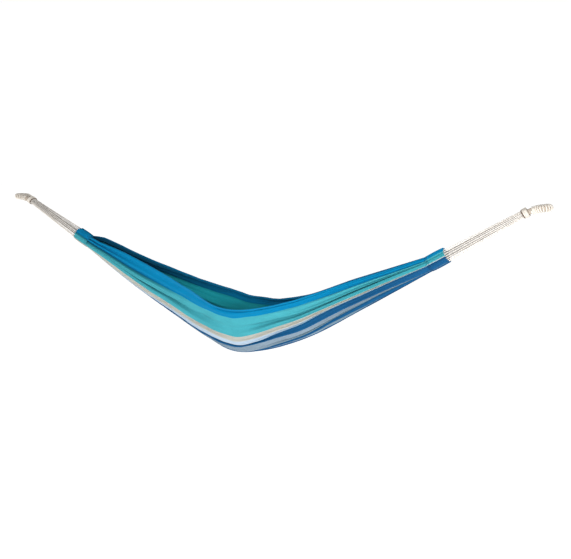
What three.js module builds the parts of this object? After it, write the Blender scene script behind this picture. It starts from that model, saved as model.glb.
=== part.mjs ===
// A striped cloth hammock, hung empty between two hooks.
//
// Millimetres, +Z up, +X from the head end to the foot end. The origin is where the head hook bears, on the
// inner side of the head eye's crown. The cloth bed hangs between two gathered hems. At each end sixteen
// cords go from the neck of the eye into the hem, round the hem cord, and back to the neck.

import * as THREE from 'three';
import { mergeVertices } from 'three/addons/utils/BufferGeometryUtils.js';

// ---- driving dimensions ----

const HUNG_SPAN = 2880; // between the faces that bear on the two hooks
const CLEARANCE = 0.3; // between pieces that touch on the real object
const SERVING_CLEARANCE = 0.9; // round the core, whose facets cross those of the serving's bore

const HEAD_SLOPE = 0.54; // fall per length of the head harness, as it hangs
const FOOT_SLOPE = 0.6;

const CORD_DIAMETER = 4;
const CORDS_PER_END = 16;
const CORD_TURN_RADIUS = 8; // of the turn round the hem cord
const CORD_END_GAP = 12; // the cords start this far past the neck, which leaves room to swing
const HEM_CORD_RADIUS = 3;

const CORE_RADIUS = 12; // the bundle of cords inside the eye
const SERVING_WALL = 4; // one layer of the cord wound round the eye
const SERVING_END_GAP = 14; // of bare core between the serving and the binding
const EYE_REACH = 100; // from the middle of the crown to the neck, along X
const EYE_HALF_WIDTH = 30; // centre line of a leg to the middle of the loop
const CROWN_HALF_FLAT = 8; // half of the straight stretch that bears on the hook
const NECK_DROP = 28; // the neck is this far below the crown
const LEG_HALF_GAP = CORE_RADIUS + CLEARANCE; // the two legs lie side by side in the neck

const BINDING_LENGTH = 22;
const BINDING_WALL = 4;
const BINDING_BORE = { across: 26.6, up: 18.2 }; // half sizes of the oval bore

const NECK_OUTER = { across: 21.2, up: 15.6 }; // half sizes of the ovals that the cords start on
const NECK_INNER = { across: 16.8, up: 11.2 };

const HARNESS_LENGTH = 368; // from the neck to the mouth of the hem
const HEM_LENGTH = 90; // from the mouth to the seam
const HEM_RING_RADIUS = 23; // of the ring that the hem cord lies on
const HEM_HALF_DEPTH = 13; // from that ring to the inner or outer face of the hem
const HEM_WALL = 2;
const HEM_POCKET_DEPTH = 16; // how far the pocket for the cords goes in from the mouth
const HEM_HALF_ANGLE = THREE.MathUtils.degToRad(150); // the hem stays open at the top
const CORD_HALF_ANGLE = THREE.MathUtils.degToRad(141);
const SEAM_THREAD_RADIUS = 1;

const BED_END_RADIUS = HEM_RING_RADIUS + HEM_HALF_DEPTH; // outside of the gathered cloth at a seam
const BED_END_WALL = 2 * HEM_HALF_DEPTH;
const BED_MIDDLE_WALL = 4.5;
const BED_LOW_X = 1412; // where the bed is deepest
const BED_LOW_Z = -775;
const BED_HEIGHT = 261; // of the rims above the deepest line, at the middle
const RIM_HALF_WIDTH = 155;
const BELLY_HALF_WIDTH = 88;
const RIM_OPENING_START = 0.1; // shares of the way from a seam to the middle where the rims begin to part
const RIM_OPENING_END = 0.92; // and where they are fully apart
const HEAD_RISE = 0.85; // below 1, because the walls gain height sooner on the head side

// ---- colours ----

const CREAM = 0xe9e2d6;
const TURQUOISE = 0x4eb9c6;
const ROYAL_BLUE = 0x1e5f9b;
const DARK_THREAD = 0x17406e;

// ---- the two ends ----

// An end's own axes: "along" runs from the neck to the middle of the bed, "up" is square to it, "across" is +Y.
function makeEnd(name, slope) {
  const towards = name === 'head' ? 1 : -1;
  const originX = name === 'head' ? 0 : HUNG_SPAN;
  const servingRadius = CORE_RADIUS + SERVING_CLEARANCE + SERVING_WALL;
  const flatten = 1 / Math.hypot(1, slope);
  const neckX = originX + towards * (EYE_REACH - servingRadius);
  return {
    name,
    slope,
    towards,
    crownX: originX - towards * servingRadius,
    servingRadius,
    neck: new THREE.Vector3(neckX, 0, -NECK_DROP),
    along: new THREE.Vector3(towards * flatten, 0, -slope * flatten),
    up: new THREE.Vector3(towards * slope * flatten, 0, flatten),
    across: new THREE.Vector3(0, 1, 0),
  };
}

function pointAt(end, along, across, up) {
  const point = end.neck.clone();
  point.addScaledVector(end.along, along);
  point.addScaledVector(end.across, across);
  point.addScaledVector(end.up, up);
  return point;
}

// A point on a ring round the harness line, at an angle from straight down.
function pointOnRing(end, along, radius, angle) {
  return pointAt(end, along, radius * Math.sin(angle), -radius * Math.cos(angle));
}

// ---- shared shapes ----

// A path given by stations, each with its heading, that keeps a section square to one side direction.
class StationPath extends THREE.Curve {
  constructor(stations, sideDirection) {
    super();
    this.stations = stations;
    this.sideDirection = sideDirection;
  }

  get steps() {
    return this.stations.length - 1;
  }

  getUtoTmapping(u) {
    return u;
  }

  getPoint(t, target = new THREE.Vector3()) {
    return target.copy(this.stations[Math.round(t * this.steps)].point);
  }

  computeFrenetFrames() {
    const tangents = this.stations.map((station) => station.heading.clone().normalize());
    const normals = tangents.map((tangent) => {
      const lean = this.sideDirection.dot(tangent);
      return this.sideDirection.clone().addScaledVector(tangent, -lean).normalize();
    });
    const binormals = tangents.map((tangent, index) => tangent.clone().cross(normals[index]));
    return { tangents, normals, binormals };
  }
}

// Stations through points, each heading from the point before it to the point after it.
function stationsThrough(points) {
  return points.map((point, index) => {
    const before = points[Math.max(index - 1, 0)];
    const after = points[Math.min(index + 1, points.length - 1)];
    return { point, heading: after.clone().sub(before) };
  });
}

// A regular polygon with flats square to its axes.
function polygonShape(radius, sides) {
  const points = [];
  for (let side = 0; side < sides; side += 1) {
    const angle = ((side + 0.5) * 2 * Math.PI) / sides;
    points.push(new THREE.Vector2(radius * Math.cos(angle), radius * Math.sin(angle)));
  }
  return new THREE.Shape(points);
}

function sweep(shape, path) {
  return new THREE.ExtrudeGeometry(shape, { extrudePath: path, steps: path.steps, curveSegments: 1 });
}

function meshOf(name, geometry, color, roughness = 0.9) {
  const material = new THREE.MeshStandardMaterial({ color, roughness, metalness: 0 });
  const mesh = new THREE.Mesh(geometry, material);
  mesh.name = name;
  return mesh;
}

// ---- the eye ----

// Fall of the eye below its crown: level at the crown, curving down until it lines up with the harness.
function eyeDrop(end, reach) {
  const curveLength = 2 * (EYE_REACH - NECK_DROP / end.slope);
  if (reach < curveLength) {
    return (end.slope * reach * reach) / (2 * curveLength);
  }
  return end.slope * (reach - curveLength / 2);
}

function eyeDropRate(end, reach) {
  const curveLength = 2 * (EYE_REACH - NECK_DROP / end.slope);
  return end.slope * Math.min(reach / curveLength, 1);
}

// A station of the eye's centre line, from its plan: reach from the crown, place across, and plan heading.
function eyeStation(end, reach, across, reachRate, acrossRate) {
  const drop = eyeDrop(end, reach);
  const rate = eyeDropRate(end, reach);
  return {
    point: new THREE.Vector3(end.crownX + end.towards * reach, across, -drop),
    heading: new THREE.Vector3(end.towards * reachRate, acrossRate, -rate * reachRate),
  };
}

// Half of the loop, from the crown to the end of one leg: straight crown, round shoulder, and a leg that comes
// in beside the other leg, first as thick as its serving and then, for the bare core, into the binding.
function eyeHalf(end, hasTail) {
  const shoulderRadius = EYE_HALF_WIDTH - CROWN_HALF_FLAT;
  const shoulderSteps = 4;
  const stations = [];
  for (let step = 0; step <= shoulderSteps; step += 1) {
    const turn = (step / shoulderSteps) * (Math.PI / 2);
    const reach = shoulderRadius * (1 - Math.cos(turn));
    const across = CROWN_HALF_FLAT + shoulderRadius * Math.sin(turn);
    stations.push(eyeStation(end, reach, across, Math.sin(turn), Math.cos(turn)));
  }
  const addLeg = (fromReach, toReach, fromAcross, toAcross, steps) => {
    for (let step = 1; step <= steps; step += 1) {
      const turn = (step / steps) * Math.PI;
      const reach = fromReach + (step / steps) * (toReach - fromReach);
      const across = fromAcross + ((toAcross - fromAcross) * (1 - Math.cos(turn))) / 2;
      const acrossRate = ((toAcross - fromAcross) * Math.PI * Math.sin(turn)) / (2 * (toReach - fromReach));
      stations.push(eyeStation(end, reach, across, 1, acrossRate));
    }
  };
  const flatten = 1 / Math.hypot(1, end.slope);
  const bindingStart = EYE_REACH - (BINDING_LENGTH + 1) * flatten;
  const servingEnd = bindingStart - SERVING_END_GAP;
  const servedHalfGap = end.servingRadius + CLEARANCE;
  addLeg(shoulderRadius, servingEnd, EYE_HALF_WIDTH, servedHalfGap, 6);
  if (hasTail) {
    addLeg(servingEnd, bindingStart, servedHalfGap, LEG_HALF_GAP, 2);
    stations.push(eyeStation(end, EYE_REACH - (BINDING_LENGTH / 2) * flatten, LEG_HALF_GAP, 1, 0));
  }
  return stations;
}

// The whole loop, from the end of the -Y leg, round the crown, to the end of the +Y leg.
function eyePath(end, hasTail) {
  const farHalf = eyeHalf(end, hasTail);
  const nearHalf = farHalf.map((station) => ({
    point: station.point.clone().multiply(new THREE.Vector3(1, -1, 1)),
    heading: station.heading.clone().multiply(new THREE.Vector3(-1, 1, -1)),
  }));
  return new StationPath([...nearHalf.reverse(), ...farHalf], new THREE.Vector3(0, 0, 1));
}

// A twelve-sided section whose flats are this far from its middle.
function eyeSection(flatRadius) {
  const sides = 12;
  return polygonShape(flatRadius / Math.cos(Math.PI / sides), sides);
}

function makeEyeCore(end) {
  return sweep(eyeSection(CORE_RADIUS), eyePath(end, true));
}

function makeEyeServing(end) {
  const ring = eyeSection(end.servingRadius);
  ring.holes.push(eyeSection(CORE_RADIUS + SERVING_CLEARANCE));
  return sweep(ring, eyePath(end, false));
}

function ovalShape(halfUp, halfAcross, sides) {
  const points = [];
  for (let side = 0; side < sides; side += 1) {
    const angle = (side * 2 * Math.PI) / sides;
    points.push(new THREE.Vector2(halfUp * Math.cos(angle), halfAcross * Math.sin(angle)));
  }
  return new THREE.Shape(points);
}

// The oval sleeve of cord that ties the two legs and all the harness cords together.
function makeNeckBinding(end) {
  const sides = 24;
  const oval = ovalShape(BINDING_BORE.up + BINDING_WALL, BINDING_BORE.across + BINDING_WALL, sides);
  oval.holes.push(ovalShape(BINDING_BORE.up, BINDING_BORE.across, sides));
  const stations = stationsThrough([pointAt(end, -BINDING_LENGTH, 0, 0), pointAt(end, 0, 0, 0)]);
  return sweep(oval, new StationPath(stations, end.up));
}

// ---- the harness ----

// One harness cord: out along the outer layer, round the hem cord, and back along the inner layer.
function makeHarnessCord(end, index) {
  const share = (index + 0.5) / CORDS_PER_END;
  const neckAngle = (2 * share - 1) * Math.PI;
  const hemAngle = (2 * index / (CORDS_PER_END - 1) - 1) * CORD_HALF_ANGLE;
  const neckPoint = (oval) =>
    pointAt(end, CORD_END_GAP, oval.across * Math.sin(neckAngle), -oval.up * Math.cos(neckAngle));
  const turnSteps = 6;
  const turnAlong = HARNESS_LENGTH + HEM_POCKET_DEPTH - CORD_TURN_RADIUS - CORD_DIAMETER;
  const points = [neckPoint(NECK_OUTER)];
  for (let step = 0; step <= turnSteps; step += 1) {
    const turn = (step / turnSteps) * Math.PI;
    const radius = HEM_RING_RADIUS + CORD_TURN_RADIUS * Math.cos(turn);
    const along = turnAlong + CORD_TURN_RADIUS * Math.sin(turn);
    points.push(pointOnRing(end, along, radius, hemAngle));
  }
  points.push(neckPoint(NECK_INNER));
  const sideDirection = new THREE.Vector3();
  sideDirection.addScaledVector(end.across, Math.cos(hemAngle));
  sideDirection.addScaledVector(end.up, Math.sin(hemAngle));
  const path = new StationPath(stationsThrough(points), sideDirection);
  path.stations[0].heading = points[1].clone().sub(points[0]);
  path.stations[1].heading = end.along.clone();
  path.stations[turnSteps + 1].heading = end.along.clone().negate();
  return sweep(polygonShape(CORD_DIAMETER / 2, 8), path);
}

// An arc round the harness line, open at the top.
function ringPath(end, along, radius, halfAngle, steps) {
  const stations = [];
  for (let step = 0; step <= steps; step += 1) {
    const angle = (2 * step / steps - 1) * halfAngle;
    const heading = end.across.clone().multiplyScalar(Math.cos(angle));
    heading.addScaledVector(end.up, Math.sin(angle));
    stations.push({ point: pointOnRing(end, along, radius, angle), heading });
  }
  return new StationPath(stations, end.along);
}

function makeHemCord(end) {
  const along = HARNESS_LENGTH + HEM_POCKET_DEPTH - CORD_TURN_RADIUS - CORD_DIAMETER;
  return sweep(polygonShape(HEM_CORD_RADIUS, 8), ringPath(end, along, HEM_RING_RADIUS, HEM_HALF_ANGLE, 24));
}

// The gathered band at the end of the cloth, folded back on itself round a pocket that is open to the neck.
function makeEndHem(end) {
  const depth = HEM_HALF_DEPTH;
  const lip = depth - HEM_WALL;
  const outline = [
    [0, -depth],
    [HEM_LENGTH - CLEARANCE, -depth],
    [HEM_LENGTH - CLEARANCE, depth],
    [0, depth],
    [0, lip],
    [HEM_POCKET_DEPTH, lip],
    [HEM_POCKET_DEPTH, -lip],
    [0, -lip],
  ];
  const shape = new THREE.Shape(outline.map(([along, out]) => new THREE.Vector2(along, out)));
  return sweep(shape, ringPath(end, HARNESS_LENGTH, HEM_RING_RADIUS, HEM_HALF_ANGLE, 24));
}

function makeSeamThread(end) {
  const radius = BED_END_RADIUS + SEAM_THREAD_RADIUS + CLEARANCE;
  const path = ringPath(end, HARNESS_LENGTH + HEM_LENGTH, radius, HEM_HALF_ANGLE, 24);
  return sweep(polygonShape(SEAM_THREAD_RADIUS, 6), path);
}

// ---- the bed ----

// A closed solid from equal rings. Each ring runs along one face of a wall and back along the other face,
// so the two ends are closed straight across the wall.
function solidBetweenRings(rings) {
  const count = rings[0].length;
  const positions = rings.flat().flatMap((point) => point.toArray());
  const indices = [];
  const addQuad = (a, b, c, d) => indices.push(a, c, b, a, d, c);
  for (let ring = 0; ring + 1 < rings.length; ring += 1) {
    for (let corner = 0; corner < count; corner += 1) {
      const next = (corner + 1) % count;
      const here = ring * count;
      const there = here + count;
      addQuad(here + corner, there + corner, there + next, here + next);
    }
  }
  const last = (rings.length - 1) * count;
  for (let corner = 0; corner + 1 < count / 2; corner += 1) {
    const opposite = count - 1 - corner;
    addQuad(corner, corner + 1, opposite - 1, opposite);
    addQuad(last + opposite, last + opposite - 1, last + corner + 1, last + corner);
  }
  const geometry = new THREE.BufferGeometry();
  geometry.setAttribute('position', new THREE.Float32BufferAttribute(positions, 3));
  geometry.setIndex(indices);
  return mergeVertices(geometry, 1e-3);
}

// The half section at the middle of the bed, from the deepest point to the rim: a round belly, then a wall
// that stands nearly upright and flares out at the rim. Given as place across and height above the deepest line.
function middleSection(share) {
  const belly = 0.4;
  const bellyHeight = BELLY_HALF_WIDTH;
  if (share < belly) {
    const turn = (share / belly) * (Math.PI / 2);
    return { across: BELLY_HALF_WIDTH * Math.sin(turn), up: bellyHeight * (1 - Math.cos(turn)) };
  }
  const climb = (share - belly) / (1 - belly);
  return {
    across: BELLY_HALF_WIDTH + (RIM_HALF_WIDTH - BELLY_HALF_WIDTH) * climb ** 1.8,
    up: bellyHeight + (BED_HEIGHT - bellyHeight) * climb,
  };
}

// The half section at a seam: an arc round the gathered cloth that stays open at the top.
function seamSection(share) {
  const angle = share * HEM_HALF_ANGLE;
  return { across: BED_END_RADIUS * Math.sin(angle), up: BED_END_RADIUS * (1 - Math.cos(angle)) };
}

// Height of the deepest line: two slopes from the seams that sag a little, rounded where they meet.
function keelLine(head, foot) {
  const seamKeel = (end) => pointOnRing(end, HARNESS_LENGTH + HEM_LENGTH, BED_END_RADIUS, 0);
  const headKeel = seamKeel(head);
  const footKeel = seamKeel(foot);
  const corner = new THREE.Vector3(BED_LOW_X, 0, BED_LOW_Z);
  const roundFrom = 0.84;
  const tail = (end) => end.clone().lerp(corner, roundFrom);
  return new THREE.CatmullRomCurve3([
    headKeel,
    headKeel.clone().lerp(corner, 0.3).setZ(THREE.MathUtils.lerp(headKeel.z, BED_LOW_Z, 0.36)),
    headKeel.clone().lerp(corner, 0.6).setZ(THREE.MathUtils.lerp(headKeel.z, BED_LOW_Z, 0.665)),
    tail(headKeel).setZ(THREE.MathUtils.lerp(headKeel.z, BED_LOW_Z, 0.889)),
    corner,
    tail(footKeel).setZ(THREE.MathUtils.lerp(footKeel.z, BED_LOW_Z, 0.958)),
    footKeel.clone().lerp(corner, 0.6).setZ(THREE.MathUtils.lerp(footKeel.z, BED_LOW_Z, 0.77)),
    footKeel.clone().lerp(corner, 0.3).setZ(THREE.MathUtils.lerp(footKeel.z, BED_LOW_Z, 0.395)),
    footKeel,
  ], false, 'centripetal');
}

// One ring of the bed's wall, at a share of the way along it.
function bedRing(keel, head, foot, share) {
  const halfPoints = 12;
  const foldedness = Math.abs(2 * share - 1);
  const rise = share < 0.5 ? HEAD_RISE : 1;
  const openness = Math.sin((1 - foldedness) ** rise * (Math.PI / 2));
  const rimOpenness = THREE.MathUtils.smoothstep(1 - foldedness, RIM_OPENING_START, RIM_OPENING_END);
  const end = share < 0.5 ? head : foot;
  const upright = new THREE.Vector3(0, 0, 1).lerp(end.up, foldedness ** 1.5).normalize();
  const wall = THREE.MathUtils.lerp(BED_END_WALL, BED_MIDDLE_WALL, openness ** 0.5);
  const bottom = keel.getPoint(share);
  const across = new THREE.Vector3(0, 1, 0);
  const outline = [];
  for (let step = -halfPoints; step <= halfPoints; step += 1) {
    const part = Math.abs(step) / halfPoints;
    const narrow = seamSection(part);
    const wide = middleSection(part);
    const width = THREE.MathUtils.lerp(narrow.across, wide.across, rimOpenness);
    const height = THREE.MathUtils.lerp(narrow.up, wide.up, openness);
    outline.push(new THREE.Vector2(Math.sign(step) * width, height));
  }
  const inner = outline.map((point, index) => {
    const before = outline[Math.max(index - 1, 0)];
    const after = outline[Math.min(index + 1, outline.length - 1)];
    const inward = after.clone().sub(before).normalize().rotateAround(new THREE.Vector2(), Math.PI / 2);
    return point.clone().addScaledVector(inward, wall);
  });
  return [...outline, ...inner.reverse()].map((flat) =>
    bottom.clone().addScaledVector(across, flat.x).addScaledVector(upright, flat.y));
}

function makeBed(head, foot) {
  const ringCount = 40;
  const keel = keelLine(head, foot);
  const rings = [];
  for (let ring = 0; ring < ringCount; ring += 1) {
    rings.push(bedRing(keel, head, foot, ring / (ringCount - 1)));
  }
  return solidBetweenRings(rings);
}

// ---- assembly ----

function twoDigits(number) {
  return String(number).padStart(2, '0');
}

function makeEndGroup(end) {
  const group = new THREE.Group();
  group.add(meshOf(`${end.name}_eye_core`, makeEyeCore(end), CREAM));
  group.add(meshOf(`${end.name}_eye_serving`, makeEyeServing(end), CREAM));
  group.add(meshOf(`${end.name}_neck_binding`, makeNeckBinding(end), CREAM));
  for (let index = 0; index < CORDS_PER_END; index += 1) {
    const name = `${end.name}_cord_${twoDigits(index + 1)}`;
    group.add(meshOf(name, makeHarnessCord(end, index), CREAM));
  }
  group.add(meshOf(`${end.name}_hem_cord`, makeHemCord(end), CREAM));
  group.add(meshOf(`${end.name}_end_hem`, makeEndHem(end), ROYAL_BLUE, 0.95));
  group.add(meshOf(`${end.name}_seam_thread`, makeSeamThread(end), DARK_THREAD));
  return group;
}

const headEnd = makeEnd('head', HEAD_SLOPE);
const footEnd = makeEnd('foot', FOOT_SLOPE);

const group = new THREE.Group();
group.add(meshOf('bed_cloth', makeBed(headEnd, footEnd), TURQUOISE, 0.95));
group.add(makeEndGroup(headEnd));
group.add(makeEndGroup(footEnd));

export default group;
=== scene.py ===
"""A cloth hammock: striped cloth gathered between two corded ends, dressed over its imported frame."""

import logging
import math
from collections.abc import Sequence
from dataclasses import dataclass, field
from enum import Enum

import bpy
import numpy as np
from mathutils import Euler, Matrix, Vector


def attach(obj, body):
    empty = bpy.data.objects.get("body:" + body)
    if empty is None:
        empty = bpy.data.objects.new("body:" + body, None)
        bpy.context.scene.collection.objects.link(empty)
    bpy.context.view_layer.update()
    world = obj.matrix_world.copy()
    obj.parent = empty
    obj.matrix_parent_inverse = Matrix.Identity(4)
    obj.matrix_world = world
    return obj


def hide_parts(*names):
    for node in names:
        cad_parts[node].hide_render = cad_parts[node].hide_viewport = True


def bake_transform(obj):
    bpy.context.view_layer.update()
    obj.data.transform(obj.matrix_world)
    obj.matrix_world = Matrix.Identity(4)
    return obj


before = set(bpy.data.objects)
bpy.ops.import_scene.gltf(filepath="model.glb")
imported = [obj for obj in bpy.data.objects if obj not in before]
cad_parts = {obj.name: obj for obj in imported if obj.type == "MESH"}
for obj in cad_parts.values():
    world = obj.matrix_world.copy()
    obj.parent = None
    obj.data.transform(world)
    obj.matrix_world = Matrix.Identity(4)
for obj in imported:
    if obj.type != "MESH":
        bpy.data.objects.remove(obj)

LOG = logging.getLogger("hammock")
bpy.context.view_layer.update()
Y_AXIS = np.array([0.0, 1.0, 0.0])
Z_AXIS = np.array([0.0, 0.0, 1.0])


# ---- small tools ----


def smoothstep(value: float, low: float, high: float) -> float:
    """Ease from 0 at low to 1 at high."""
    share = min(max((value - low) / (high - low), 0.0), 1.0)
    return share * share * (3 - 2 * share)


def by_share(shares: float | np.ndarray, table: Sequence[tuple[float, float]]) -> float | np.ndarray:
    """Read a table of pairs of share and value, straight from pair to pair."""
    return np.interp(shares, *zip(*table))


def running_length(points: np.ndarray) -> np.ndarray:
    """Measure how far along a line each of its points lies."""
    return np.concatenate([[0.0], np.cumsum(np.linalg.norm(np.diff(points, axis=0), axis=1))])


def unit(vector: np.ndarray) -> np.ndarray:
    """Scale vectors, along the last axis, to a length of 1."""
    return vector / np.maximum(np.linalg.norm(vector, axis=-1, keepdims=True), 1e-12)


def ripple(places: np.ndarray, seed: int, waves: int, shortest: float, longest: float) -> np.ndarray:
    """Sum a few sine waves with seeded lengths and phases.

    Args:
        places: where the sum is taken, in metres.
        seed: fixes the waves.
        waves: how many there are.
        shortest: length of the shortest wave.
        longest: length of the longest wave.

    Returns:
        The sum at each place, mostly between -1 and 1.
    """
    rng = np.random.default_rng(seed)
    lengths = rng.uniform(shortest, longest, waves)
    phases = rng.uniform(0, 2 * np.pi, waves)
    total = sum(np.sin(2 * np.pi * places / length + phase) for length, phase in zip(lengths, phases))
    return total / math.sqrt(waves)


def resample(points: np.ndarray, spacing: float) -> np.ndarray:
    """Place points at an even spacing along a line.

    Args:
        points: the line's own points.
        spacing: the distance wanted between points.

    Returns:
        The evenly spaced points, both ends among them.
    """
    lengths = running_length(points)
    count = max(int(round(lengths[-1] / spacing)), 2)
    places = np.linspace(0.0, lengths[-1], count + 1)
    return np.stack([np.interp(places, lengths, points[:, axis]) for axis in range(3)], axis=1)


def line_length(points: Sequence[np.ndarray]) -> float:
    """Measure a line through points."""
    return float(np.linalg.norm(np.diff(np.asarray(points), axis=0), axis=1).sum())


def carried_frames(points: np.ndarray, side: np.ndarray) -> tuple[np.ndarray, np.ndarray]:
    """Carry a side direction along a line without letting it turn about the line.

    Args:
        points: the line.
        side: the direction to start from.

    Returns:
        Two unit directions square to the line, at each point.
    """
    headings = unit(np.gradient(points, axis=0))
    first = np.empty_like(points)
    current = side
    for index, heading in enumerate(headings):
        current = current - heading * float(np.dot(current, heading))
        current = current / np.linalg.norm(current)
        first[index] = current
    return first, np.cross(headings, first)


def make_object(
    name: str, points: np.ndarray, faces: list[tuple[int, ...]], finish: bpy.types.Material
) -> bpy.types.Object:
    """Make a smooth mesh object at the origin.

    Args:
        name: the piece's name.
        points: its vertices, in the row frame.
        faces: its faces, wound so that they face outwards.
        finish: the material it gets.

    Returns:
        The new object.
    """
    mesh = bpy.data.meshes.new(name)
    mesh.from_pydata(points.reshape(-1, 3).tolist(), [], faces)
    mesh.polygons.foreach_set("use_smooth", [True] * len(mesh.polygons))
    mesh.materials.append(finish)
    mesh.update()
    piece = bpy.data.objects.new(name, mesh)
    bpy.context.scene.collection.objects.link(piece)
    return piece


def grid_faces(rows: int, columns: int, closed: bool) -> list[tuple[int, ...]]:
    """List the faces of a grid of points.

    Args:
        rows: how many rows it has.
        columns: how many points a row has.
        closed: whether each row joins up with its own start.

    Returns:
        Faces that turn from one row to the next and then along it.
    """
    faces = []
    for row in range(rows - 1):
        for column in range(columns if closed else columns - 1):
            here = row * columns + column
            beside = row * columns + (column + 1) % columns
            faces.append((here, beside, beside + columns, here + columns))
    return faces


def paint_uv(piece: bpy.types.Object, places: np.ndarray) -> None:
    """Give a piece a UV map from one pair of numbers for each vertex."""
    layer = piece.data.uv_layers.new(name="UVMap")
    corners = np.empty(len(piece.data.loops), dtype=np.int32)
    piece.data.loops.foreach_get("vertex_index", corners)
    layer.data.foreach_set("uv", places.reshape(-1, 2)[corners].astype(np.float32).ravel())


def paint_kept_light(piece: bpy.types.Object, colours: np.ndarray) -> None:
    """Store painted shade: the share of red, green and blue light that leaves the cloth at each vertex, 1 on
    open cloth.
    """
    layer = piece.data.attributes.new("kept_light", "FLOAT_COLOR", "POINT")
    colours = colours.reshape(-1, 3)
    layer.data.foreach_set("color", np.c_[colours, np.ones(len(colours))].astype(np.float32).ravel())


def tube(
    name: str,
    points: np.ndarray,
    outline: np.ndarray,
    side: np.ndarray,
    turns: np.ndarray,
    finish: bpy.types.Material,
) -> bpy.types.Object:
    """Sweep a closed outline along a line, turning it on the way.

    Args:
        name: the piece's name.
        points: the line.
        outline: the outline's points, anticlockwise, as pairs.
        side: the direction of the outline's first axis at the start.
        turns: how far the outline has turned at each point of the line, in radians.
        finish: the material it gets.

    Returns:
        A closed tube with capped ends. Its UV map holds the length along it and the share of the way round.
    """
    first, second = carried_frames(points, side)
    cos, sin = np.cos(turns)[:, None], np.sin(turns)[:, None]
    across = outline[None, :, 0] * cos - outline[None, :, 1] * sin
    up = outline[None, :, 0] * sin + outline[None, :, 1] * cos
    body = points[:, None] + first[:, None] * across[..., None] + second[:, None] * up[..., None]
    rows, columns = len(points), len(outline)
    caps = np.stack([points[0], points[-1]])
    faces = grid_faces(rows, columns, closed=True)
    last = (rows - 1) * columns
    for column in range(columns):
        beside = (column + 1) % columns
        faces.append((rows * columns, beside, column))
        faces.append((rows * columns + 1, last + column, last + beside))
    piece = make_object(name, np.concatenate([body.reshape(-1, 3), caps]), faces, finish)
    lengths = running_length(points)
    shares = np.arange(columns) / columns
    places = np.stack(np.broadcast_arrays(lengths[:, None], shares[None, :]), axis=-1).reshape(-1, 2)
    ends = np.array([[0.0, 0.5], [lengths[-1], 0.5]])
    paint_uv(piece, np.concatenate([places, ends]))
    return piece


def laid_outline(diameter: float, strands: int, points_each: int) -> np.ndarray:
    """Draw the outline of a rope of round strands laid side by side round its middle.

    Args:
        diameter: across the finished rope.
        strands: how many strands it has.
        points_each: how many points of the outline fall on each strand.

    Returns:
        The outline's points, anticlockwise, as pairs.
    """
    half_sector = math.pi / strands
    strand = diameter / 2 * math.sin(half_sector) / (1 + math.sin(half_sector))
    middle = diameter / 2 - strand
    reach = math.pi / 2 + half_sector * 0.2
    outline = []
    for index in range(strands):
        heading = 2 * half_sector * index
        for step in range(points_each):
            turn = heading + reach * (2 * (step + 0.5) / points_each - 1)
            outline.append(
                (
                    middle * math.cos(heading) + strand * math.cos(turn),
                    middle * math.sin(heading) + strand * math.sin(turn),
                )
            )
    return np.array(outline)


# ---- finishes ----


Colour = tuple[float, float, float]


class NodeBoard:
    """A material's or tree's nodes, with short ways to add and join them."""

    def __init__(self, tree: bpy.types.NodeTree) -> None:
        """Keep the tree that the nodes go into."""
        self.tree = tree

    def add(
        self, kind: str, inputs: dict[str | int, object] | None = None, **settings: object
    ) -> bpy.types.Node:
        """Add a node.

        Args:
            kind: the node's type name.
            inputs: values or output sockets for its inputs, by name or number.
            settings: the node's own properties.

        Returns:
            The new node.
        """
        node = self.tree.nodes.new(kind)
        for name, value in settings.items():
            setattr(node, name, value)
        for name, value in (inputs or {}).items():
            self.put(node, name, value)
        return node

    def put(self, node: bpy.types.Node, name: str | int, value: object) -> None:
        """Set an input to a value, or join it to an output socket."""
        if isinstance(value, bpy.types.NodeSocket):
            self.tree.links.new(value, node.inputs[name])
        else:
            node.inputs[name].default_value = value

    def math(self, operation: str, *values: object) -> bpy.types.NodeSocket:
        """Add a Math node on these values and return its result."""
        node = self.add("ShaderNodeMath", dict(enumerate(values)), operation=operation)
        return node.outputs[0]

    def mix(self, blend: str, share: object, first: object, second: object) -> bpy.types.NodeSocket:
        """Mix two colours and return the result."""
        node = self.add("ShaderNodeMix", data_type="RGBA", blend_type=blend)
        self.put(node, 0, share)
        self.put(node, 6, first)
        self.put(node, 7, second)
        return node.outputs[2]

    def noise(self, place: bpy.types.NodeSocket, scale: float, detail: float) -> bpy.types.NodeSocket:
        """Add an even noise at a place and return its strength."""
        node = self.add("ShaderNodeTexNoise", {"Vector": place, "Scale": scale, "Detail": detail})
        return node.outputs[0]

    def drawn_noise(self, place: bpy.types.NodeSocket, scale: Colour, detail: float) -> bpy.types.NodeSocket:
        """Add a noise with its own scale along each axis and return its strength."""
        return self.noise(self.add("ShaderNodeMapping", {0: place, 3: scale}).outputs[0], 1.0, detail)

    def swing(self, value: bpy.types.NodeSocket, amount: float) -> bpy.types.NodeSocket:
        """Turn a strength round 0.5 into one round 0, times an amount."""
        return self.math("MULTIPLY", self.math("SUBTRACT", value, 0.5), amount)

    def grey(self, tone: bpy.types.NodeSocket) -> bpy.types.NodeSocket:
        """Turn a lightness into a colour."""
        return self.add("ShaderNodeCombineColor", {0: tone, 1: tone, 2: tone}).outputs[0]


def linear(colour: Colour) -> tuple[float, float, float, float]:
    """Turn a screen colour, from 0 to 255, into the renderer's own light values."""
    shares = [channel / 255 for channel in colour]
    lights = [share / 12.92 if share <= 0.04045 else ((share + 0.055) / 1.055) ** 2.4 for share in shares]
    return (*lights, 1.0)


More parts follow.
